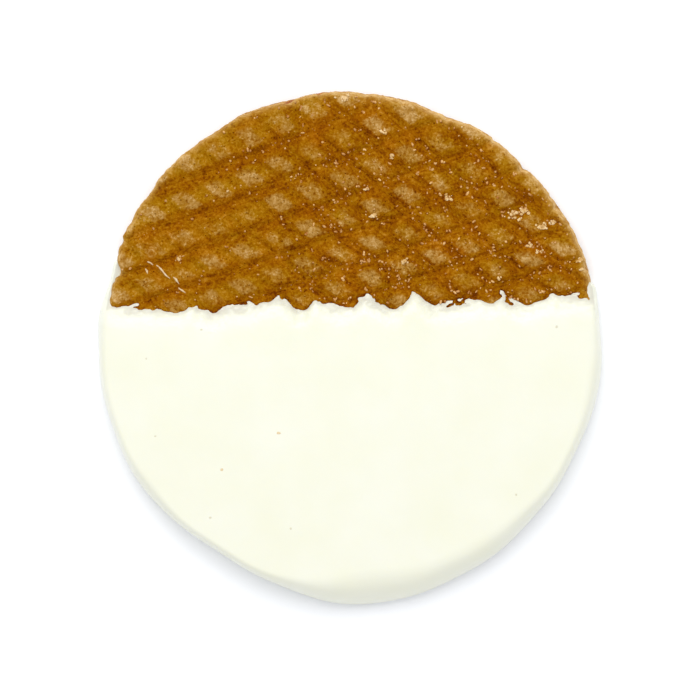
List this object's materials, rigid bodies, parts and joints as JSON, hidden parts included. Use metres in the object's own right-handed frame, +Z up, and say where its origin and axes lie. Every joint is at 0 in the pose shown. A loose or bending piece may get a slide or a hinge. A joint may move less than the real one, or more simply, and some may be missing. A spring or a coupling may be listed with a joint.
{
  "type": "stroopwafel",
  "caption": "Round biscuit of two grid-pressed wafers with a caramel syrup layer, its lower part dipped in white chocolate that ran out into a soft foot.",
  "frame": {"origin": "on the surface the biscuit lies on, under the middle of its outline", "axes": "+Z is up through the thickness; +Y points away from the dipped end, to the bare wafer; +X is to the right when the dipped end points to the viewer"},
  "size_m": [0.1012, 0.1032, 0.0094],
  "materials": {
    "wafer": "baked golden brown, matte",
    "syrup": "sticky amber caramel",
    "white_chocolate": "smooth ivory, soft gloss"
  },
  "bodies": {
    "root": {"wafer_lower": "wafer", "syrup": "syrup", "wafer_upper": "wafer", "white_chocolate": "white_chocolate"}
  },
  "joints": []
}
